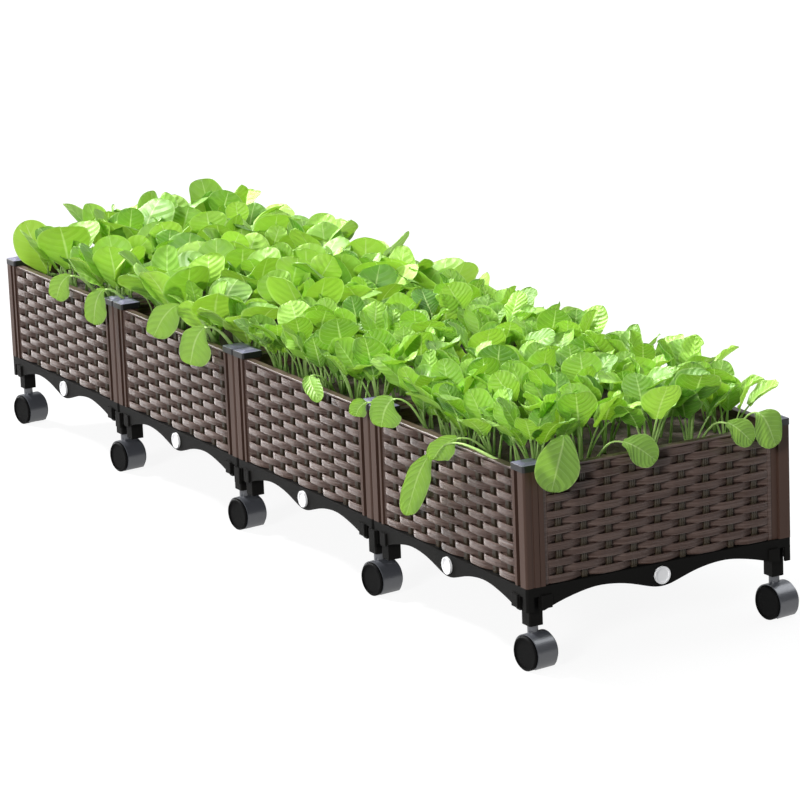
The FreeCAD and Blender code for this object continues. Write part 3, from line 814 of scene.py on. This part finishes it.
# Distant lamps: name, direction in which it stands, energy, width in degrees, colour, shows in gloss only.
LAMPS = [
    ("key_sun", (-0.74, -0.32, 0.72), 5.4, 8, (1.0, 1.0, 1.0), False),
    ("fill_sun", (0.54, -0.82, 0.40), 2.1, 14, (1.0, 1.0, 1.0), False),
    ("top_sun", (-0.20, -0.10, 1.0), 1.2, 24, (1.0, 1.0, 1.0), False),
    ("back_sun", (-0.30, 0.70, 0.55), 0.8, 90, (0.90, 0.94, 1.0), False),
    ("rim_glow", (-0.95, -0.10, 0.06), 4.2, 40, (1.0, 1.0, 1.0), True),
    ("sheen_sun", (0.02, 0.56, 0.82), 1.5, 44, (0.92, 0.95, 1.0), True),
]
CAMERA_TURN = (61.4545, 13.9369, -2.2611)    # azimuth, elevation and roll in degrees
CAMERA_PLACE = (4.76681, -2.52616, 1.49855)
CAMERA_LENS = 173.61
CAMERA_SENSOR = 36.0


def studio():
    """White floor, dim sky and soft lamps, two of which only show as gloss."""
    mesh = bpy.data.meshes.new("studio_floor")
    r = FLOOR_REACH
    corners = [(x, y, FLOOR_LEVEL) for x, y in ((-r, -r), (r, -r), (r, r), (-r, r))]
    mesh.from_pydata(corners, [], [(0, 1, 2, 3)])
    mesh.materials.append(floor_material())
    floor = bpy.data.objects.new("studio_floor", mesh)
    bpy.context.scene.collection.objects.link(floor)
    floor.visible_diffuse = False
    world = bpy.data.worlds.new("studio_sky")
    world.use_nodes = True
    sky = world.node_tree.nodes["Background"]
    sky.inputs[0].default_value = rgba(*SKY_COLOUR)
    sky.inputs[1].default_value = SKY_STRENGTH
    bpy.context.scene.world = world
    for row in LAMPS:
        soft_sun(*row)
    bpy.context.scene.view_settings.view_transform = "Standard"
    bpy.context.scene.view_settings.look = "None"


def soft_sun(name, towards, energy, spread, colour, gloss_only):
    """One distant soft lamp."""
    sun = bpy.data.lights.new(name, "SUN")
    sun.energy = energy
    sun.color = colour
    sun.angle = math.radians(spread)
    lamp = bpy.data.objects.new(name, sun)
    lamp.rotation_euler = Vector(towards).to_track_quat("Z", "Y").to_euler()
    lamp.visible_diffuse = not gloss_only
    bpy.context.scene.collection.objects.link(lamp)


def camera():
    """The photo's viewpoint, beyond the near right corner and a little above the row."""
    azimuth, elevation, roll = (math.radians(v) for v in CAMERA_TURN)
    flat = math.cos(elevation)
    back = np.array([math.sin(azimuth) * flat, -math.cos(azimuth) * flat, math.sin(elevation)])
    right = unit(np.cross(-back, [0, 0, 1.0]))
    up = np.cross(right, -back)
    c, s = math.cos(roll), math.sin(roll)
    right, up = c * right + s * up, -s * right + c * up
    data = bpy.data.cameras.new("view")
    data.lens = CAMERA_LENS
    data.sensor_width = CAMERA_SENSOR
    data.clip_end = 100.0
    cam = bpy.data.objects.new("view", data)
    matrix = Matrix.Identity(4)
    for row in range(3):
        matrix[row] = (right[row], up[row], back[row], CAMERA_PLACE[row])
    cam.matrix_world = matrix
    bpy.context.scene.collection.objects.link(cam)
    bpy.context.scene.camera = cam


def main():
    """Builds everything round the frame."""
    materials = {key: plastic(*row) for key, row in PLASTICS.items()}
    paint_cap_sky_reflection(materials["cap"])
    dress_cad(materials)
    woven_panels(woven_plastic())
    soil_beds(soil_material())
    round_leaf = leaf_material(
        "round_leaf", young=(0.43, 0.72, 0.090), old=(0.080, 0.28, 0.030), rib=(0.66, 0.86, 0.34),
        veins=KINDS["round"]["veins"], vein_mix=0.14, pucker=0.3, roughness=0.48)
    oval_leaf = leaf_material(
        "oval_leaf", young=(0.39, 0.71, 0.080), old=(0.040, 0.19, 0.018), rib=(0.66, 0.88, 0.32),
        veins=KINDS["oval"]["veins"], vein_mix=0.34, pucker=0.9, roughness=0.46)
    greens(round_leaf, oval_leaf)
    studio()
    camera()


main()
